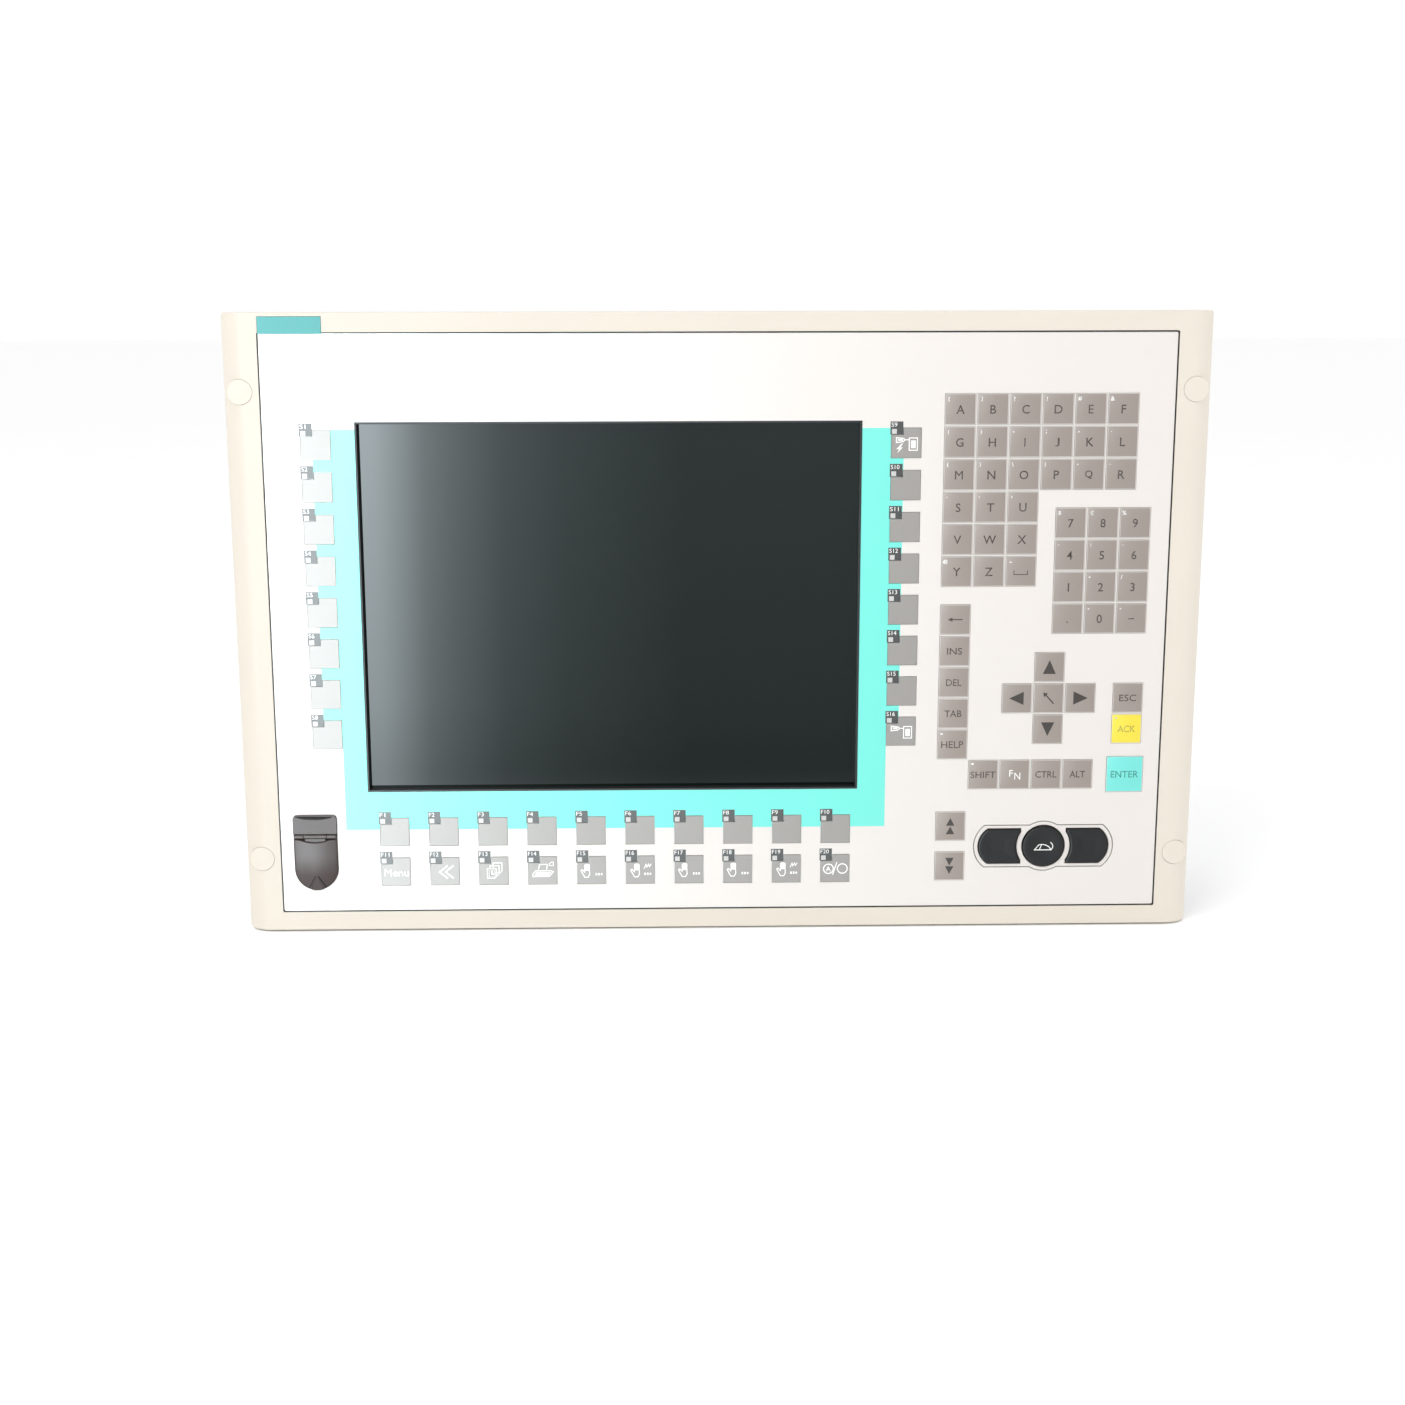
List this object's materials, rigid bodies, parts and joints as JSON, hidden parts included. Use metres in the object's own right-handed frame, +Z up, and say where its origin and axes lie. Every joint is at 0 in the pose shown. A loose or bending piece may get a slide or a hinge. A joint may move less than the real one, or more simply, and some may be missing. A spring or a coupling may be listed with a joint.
{
  "type": "operator panel",
  "caption": "Rack-mounted operator panel with a recessed display, foil keys along and beside it, a pointing disc with two buttons, a service port flap and a fan-cooled computer housing behind.",
  "frame": {"origin": "centre of the front's rear seating face, amid the four rack holes", "axes": "+X to the operator's right, +Y into the cabinet, +Z up; the keys face -Y"},
  "size_m": [0.4826, 0.1083, 0.311],
  "materials": {
    "frame_paint": "fine-textured beige powder coat",
    "foil": "matt polyester foil, off-white with printed fields",
    "plate_turquoise": "blank turquoise name plate",
    "plate_aluminium": "plain aluminium sheet",
    "seal_rubber": "closed-cell foam strip",
    "black_plastic": "fine-grained black moulding",
    "screen_glass": "clear mineral glass over a dark display",
    "display_black": "unlit liquid-crystal cell",
    "sheet_steel": "zinc-plated sheet steel",
    "lamp_white": "milky light guide",
    "board_green": "green solder mask",
    "dome_steel": "bright spring steel",
    "key_neutral": "printed neutral grey",
    "key_warm": "printed warm grey",
    "key_yellow": "printed yellow",
    "key_turquoise": "printed turquoise",
    "gimbal_plastic": "acetal ring",
    "pointer_black": "soft-touch black",
    "flap_grey": "moulded dark grey rubber",
    "screw_zinc": "zinc-plated steel",
    "sink_aluminium": "extruded aluminium",
    "terminal_green": "green terminal block",
    "disk_aluminium": "cast aluminium",
    "stud_brass": "brass"
  },
  "bodies": {
    "panel": {"front_frame": "frame_paint", "hole_caps": "frame_paint", "name_plate": "plate_turquoise", "overlay_foil": "foil", "key_plate": "plate_aluminium", "panel_seal": "seal_rubber", "display_surround": "black_plastic", "display_glass": "screen_glass", "display_cell": "display_black", "display_tray": "sheet_steel", "backlight_lamps": "lamp_white", "lamp_inverter": "board_green", "switch_board": "board_green", "switch_domes": "dome_steel", "light_pipes": "lamp_white", "pointer_surround": "foil", "pointer_sensor": "board_green", "port_frame": "flap_grey", "flap_pin": "dome_steel", "port_socket": "dome_steel", "housing": "sheet_steel", "rear_cover": "sheet_steel", "case_screws": "screw_zinc", "main_board": "board_green", "heat_sink": "sink_aluminium", "power_supply": "sheet_steel", "power_terminal": "terminal_green", "switch_bezel": "black_plastic", "fan_body": "black_plastic", "hard_disk": "disk_aluminium", "rear_connectors": "screw_zinc", "earth_stud": "stud_brass"},
    "function_keys_upper": {"function_keys_upper": "key_neutral"},
    "function_keys_lower": {"function_keys_lower": "key_neutral"},
    "soft_keys_left": {"soft_keys_left": "key_neutral"},
    "soft_keys_right": {"soft_keys_right": "key_neutral"},
    "letter_keys": {"letter_keys": "key_warm"},
    "digit_keys": {"digit_keys": "key_warm"},
    "edit_keys": {"edit_keys": "key_warm"},
    "key_up": {"key_up": "key_warm"},
    "key_left": {"key_left": "key_warm"},
    "key_home": {"key_home": "key_warm"},
    "key_right": {"key_right": "key_warm"},
    "key_down": {"key_down": "key_warm"},
    "key_escape": {"key_escape": "key_warm"},
    "key_acknowledge": {"key_acknowledge": "key_yellow"},
    "key_enter": {"key_enter": "key_turquoise"},
    "key_shift": {"key_shift": "key_warm"},
    "key_fn": {"key_fn": "key_warm"},
    "key_control": {"key_control": "key_warm"},
    "key_alt": {"key_alt": "key_warm"},
    "key_page_up": {"key_page_up": "key_warm"},
    "key_page_down": {"key_page_down": "key_warm"},
    "pointer_gimbal": {"pointer_gimbal": "gimbal_plastic"},
    "pointer_disc": {"pointer_disc": "pointer_black"},
    "pointer_button_left": {"pointer_button_left": "pointer_black"},
    "pointer_button_right": {"pointer_button_right": "pointer_black"},
    "port_flap": {"port_flap": "flap_grey"},
    "power_rocker": {"power_rocker": "black_plastic"},
    "fan_rotor": {"fan_rotor": "black_plastic"}
  },
  "joints": [
    {"name": "function_keys_upper_press", "type": "slide", "parent": "panel", "child": "function_keys_upper", "axis": [0, 1, 0], "range_m": [0, 0.0004], "stiffness_N_per_m": 60000},
    {"name": "function_keys_lower_press", "type": "slide", "parent": "panel", "child": "function_keys_lower", "axis": [0, 1, 0], "range_m": [0, 0.0004], "stiffness_N_per_m": 60000},
    {"name": "soft_keys_left_press", "type": "slide", "parent": "panel", "child": "soft_keys_left", "axis": [0, 1, 0], "range_m": [0, 0.0004], "stiffness_N_per_m": 48000},
    {"name": "soft_keys_right_press", "type": "slide", "parent": "panel", "child": "soft_keys_right", "axis": [0, 1, 0], "range_m": [0, 0.0004], "stiffness_N_per_m": 48000},
    {"name": "letter_keys_press", "type": "slide", "parent": "panel", "child": "letter_keys", "axis": [0, 1, 0], "range_m": [0, 0.0004], "stiffness_N_per_m": 162000},
    {"name": "digit_keys_press", "type": "slide", "parent": "panel", "child": "digit_keys", "axis": [0, 1, 0], "range_m": [0, 0.0004], "stiffness_N_per_m": 72000},
    {"name": "edit_keys_press", "type": "slide", "parent": "panel", "child": "edit_keys", "axis": [0, 1, 0], "range_m": [0, 0.0004], "stiffness_N_per_m": 30000},
    {"name": "key_up_press", "type": "slide", "parent": "panel", "child": "key_up", "axis": [0, 1, 0], "range_m": [0, 0.0004], "stiffness_N_per_m": 6000},
    {"name": "key_left_press", "type": "slide", "parent": "panel", "child": "key_left", "axis": [0, 1, 0], "range_m": [0, 0.0004], "stiffness_N_per_m": 6000},
    {"name": "key_home_press", "type": "slide", "parent": "panel", "child": "key_home", "axis": [0, 1, 0], "range_m": [0, 0.0004], "stiffness_N_per_m": 6000},
    {"name": "key_right_press", "type": "slide", "parent": "panel", "child": "key_right", "axis": [0, 1, 0], "range_m": [0, 0.0004], "stiffness_N_per_m": 6000},
    {"name": "key_down_press", "type": "slide", "parent": "panel", "child": "key_down", "axis": [0, 1, 0], "range_m": [0, 0.0004], "stiffness_N_per_m": 6000},
    {"name": "key_escape_press", "type": "slide", "parent": "panel", "child": "key_escape", "axis": [0, 1, 0], "range_m": [0, 0.0004], "stiffness_N_per_m": 6000},
    {"name": "key_acknowledge_press", "type": "slide", "parent": "panel", "child": "key_acknowledge", "axis": [0, 1, 0], "range_m": [0, 0.0004], "stiffness_N_per_m": 6000},
    {"name": "key_enter_press", "type": "slide", "parent": "panel", "child": "key_enter", "axis": [0, 1, 0], "range_m": [0, 0.0004], "stiffness_N_per_m": 6000},
    {"name": "key_shift_press", "type": "slide", "parent": "panel", "child": "key_shift", "axis": [0, 1, 0], "range_m": [0, 0.0004], "stiffness_N_per_m": 6000},
    {"name": "key_fn_press", "type": "slide", "parent": "panel", "child": "key_fn", "axis": [0, 1, 0], "range_m": [0, 0.0004], "stiffness_N_per_m": 6000},
    {"name": "key_control_press", "type": "slide", "parent": "panel", "child": "key_control", "axis": [0, 1, 0], "range_m": [0, 0.0004], "stiffness_N_per_m": 6000},
    {"name": "key_alt_press", "type": "slide", "parent": "panel", "child": "key_alt", "axis": [0, 1, 0], "range_m": [0, 0.0004], "stiffness_N_per_m": 6000},
    {"name": "key_page_up_press", "type": "slide", "parent": "panel", "child": "key_page_up", "axis": [0, 1, 0], "range_m": [0, 0.0004], "stiffness_N_per_m": 6000},
    {"name": "key_page_down_press", "type": "slide", "parent": "panel", "child": "key_page_down", "axis": [0, 1, 0], "range_m": [0, 0.0004], "stiffness_N_per_m": 6000},
    {"name": "pointer_button_left_press", "type": "slide", "parent": "panel", "child": "pointer_button_left", "axis": [0, 1, 0], "range_m": [0, 0.0007], "stiffness_N_per_m": 3000},
    {"name": "pointer_button_right_press", "type": "slide", "parent": "panel", "child": "pointer_button_right", "axis": [0, 1, 0], "range_m": [0, 0.0007], "stiffness_N_per_m": 3000},
    {"name": "pointer_tilt_sideways", "type": "hinge", "parent": "panel", "child": "pointer_gimbal", "pos_m": [0.1651, -0.0055, -0.11365], "axis": [0, 0, 1], "range_deg": [-3, 3], "stiffness_Nm_per_rad": 0.4},
    {"name": "pointer_tilt_upright", "type": "hinge", "parent": "pointer_gimbal", "child": "pointer_disc", "pos_m": [0.1651, -0.0055, -0.11365], "axis": [1, 0, 0], "range_deg": [-3, 3], "stiffness_Nm_per_rad": 0.4},
    {"name": "port_flap_open", "type": "hinge", "parent": "panel", "child": "port_flap", "pos_m": [-0.20515, -0.0111, -0.10555], "axis": [-1, 0, 0], "range_deg": [0, 110]},
    {"name": "power_rocker_tilt", "type": "hinge", "parent": "panel", "child": "power_rocker", "pos_m": [0.1753, 0.0705, -0.13995], "axis": [0, 1, 0], "range_deg": [-16, 0]},
    {"name": "fan_spin", "type": "hinge", "parent": "panel", "child": "fan_rotor", "pos_m": [0.1628, 0.0775, 0.06195], "axis": [0, 1, 0], "continuous": true}
  ]
}
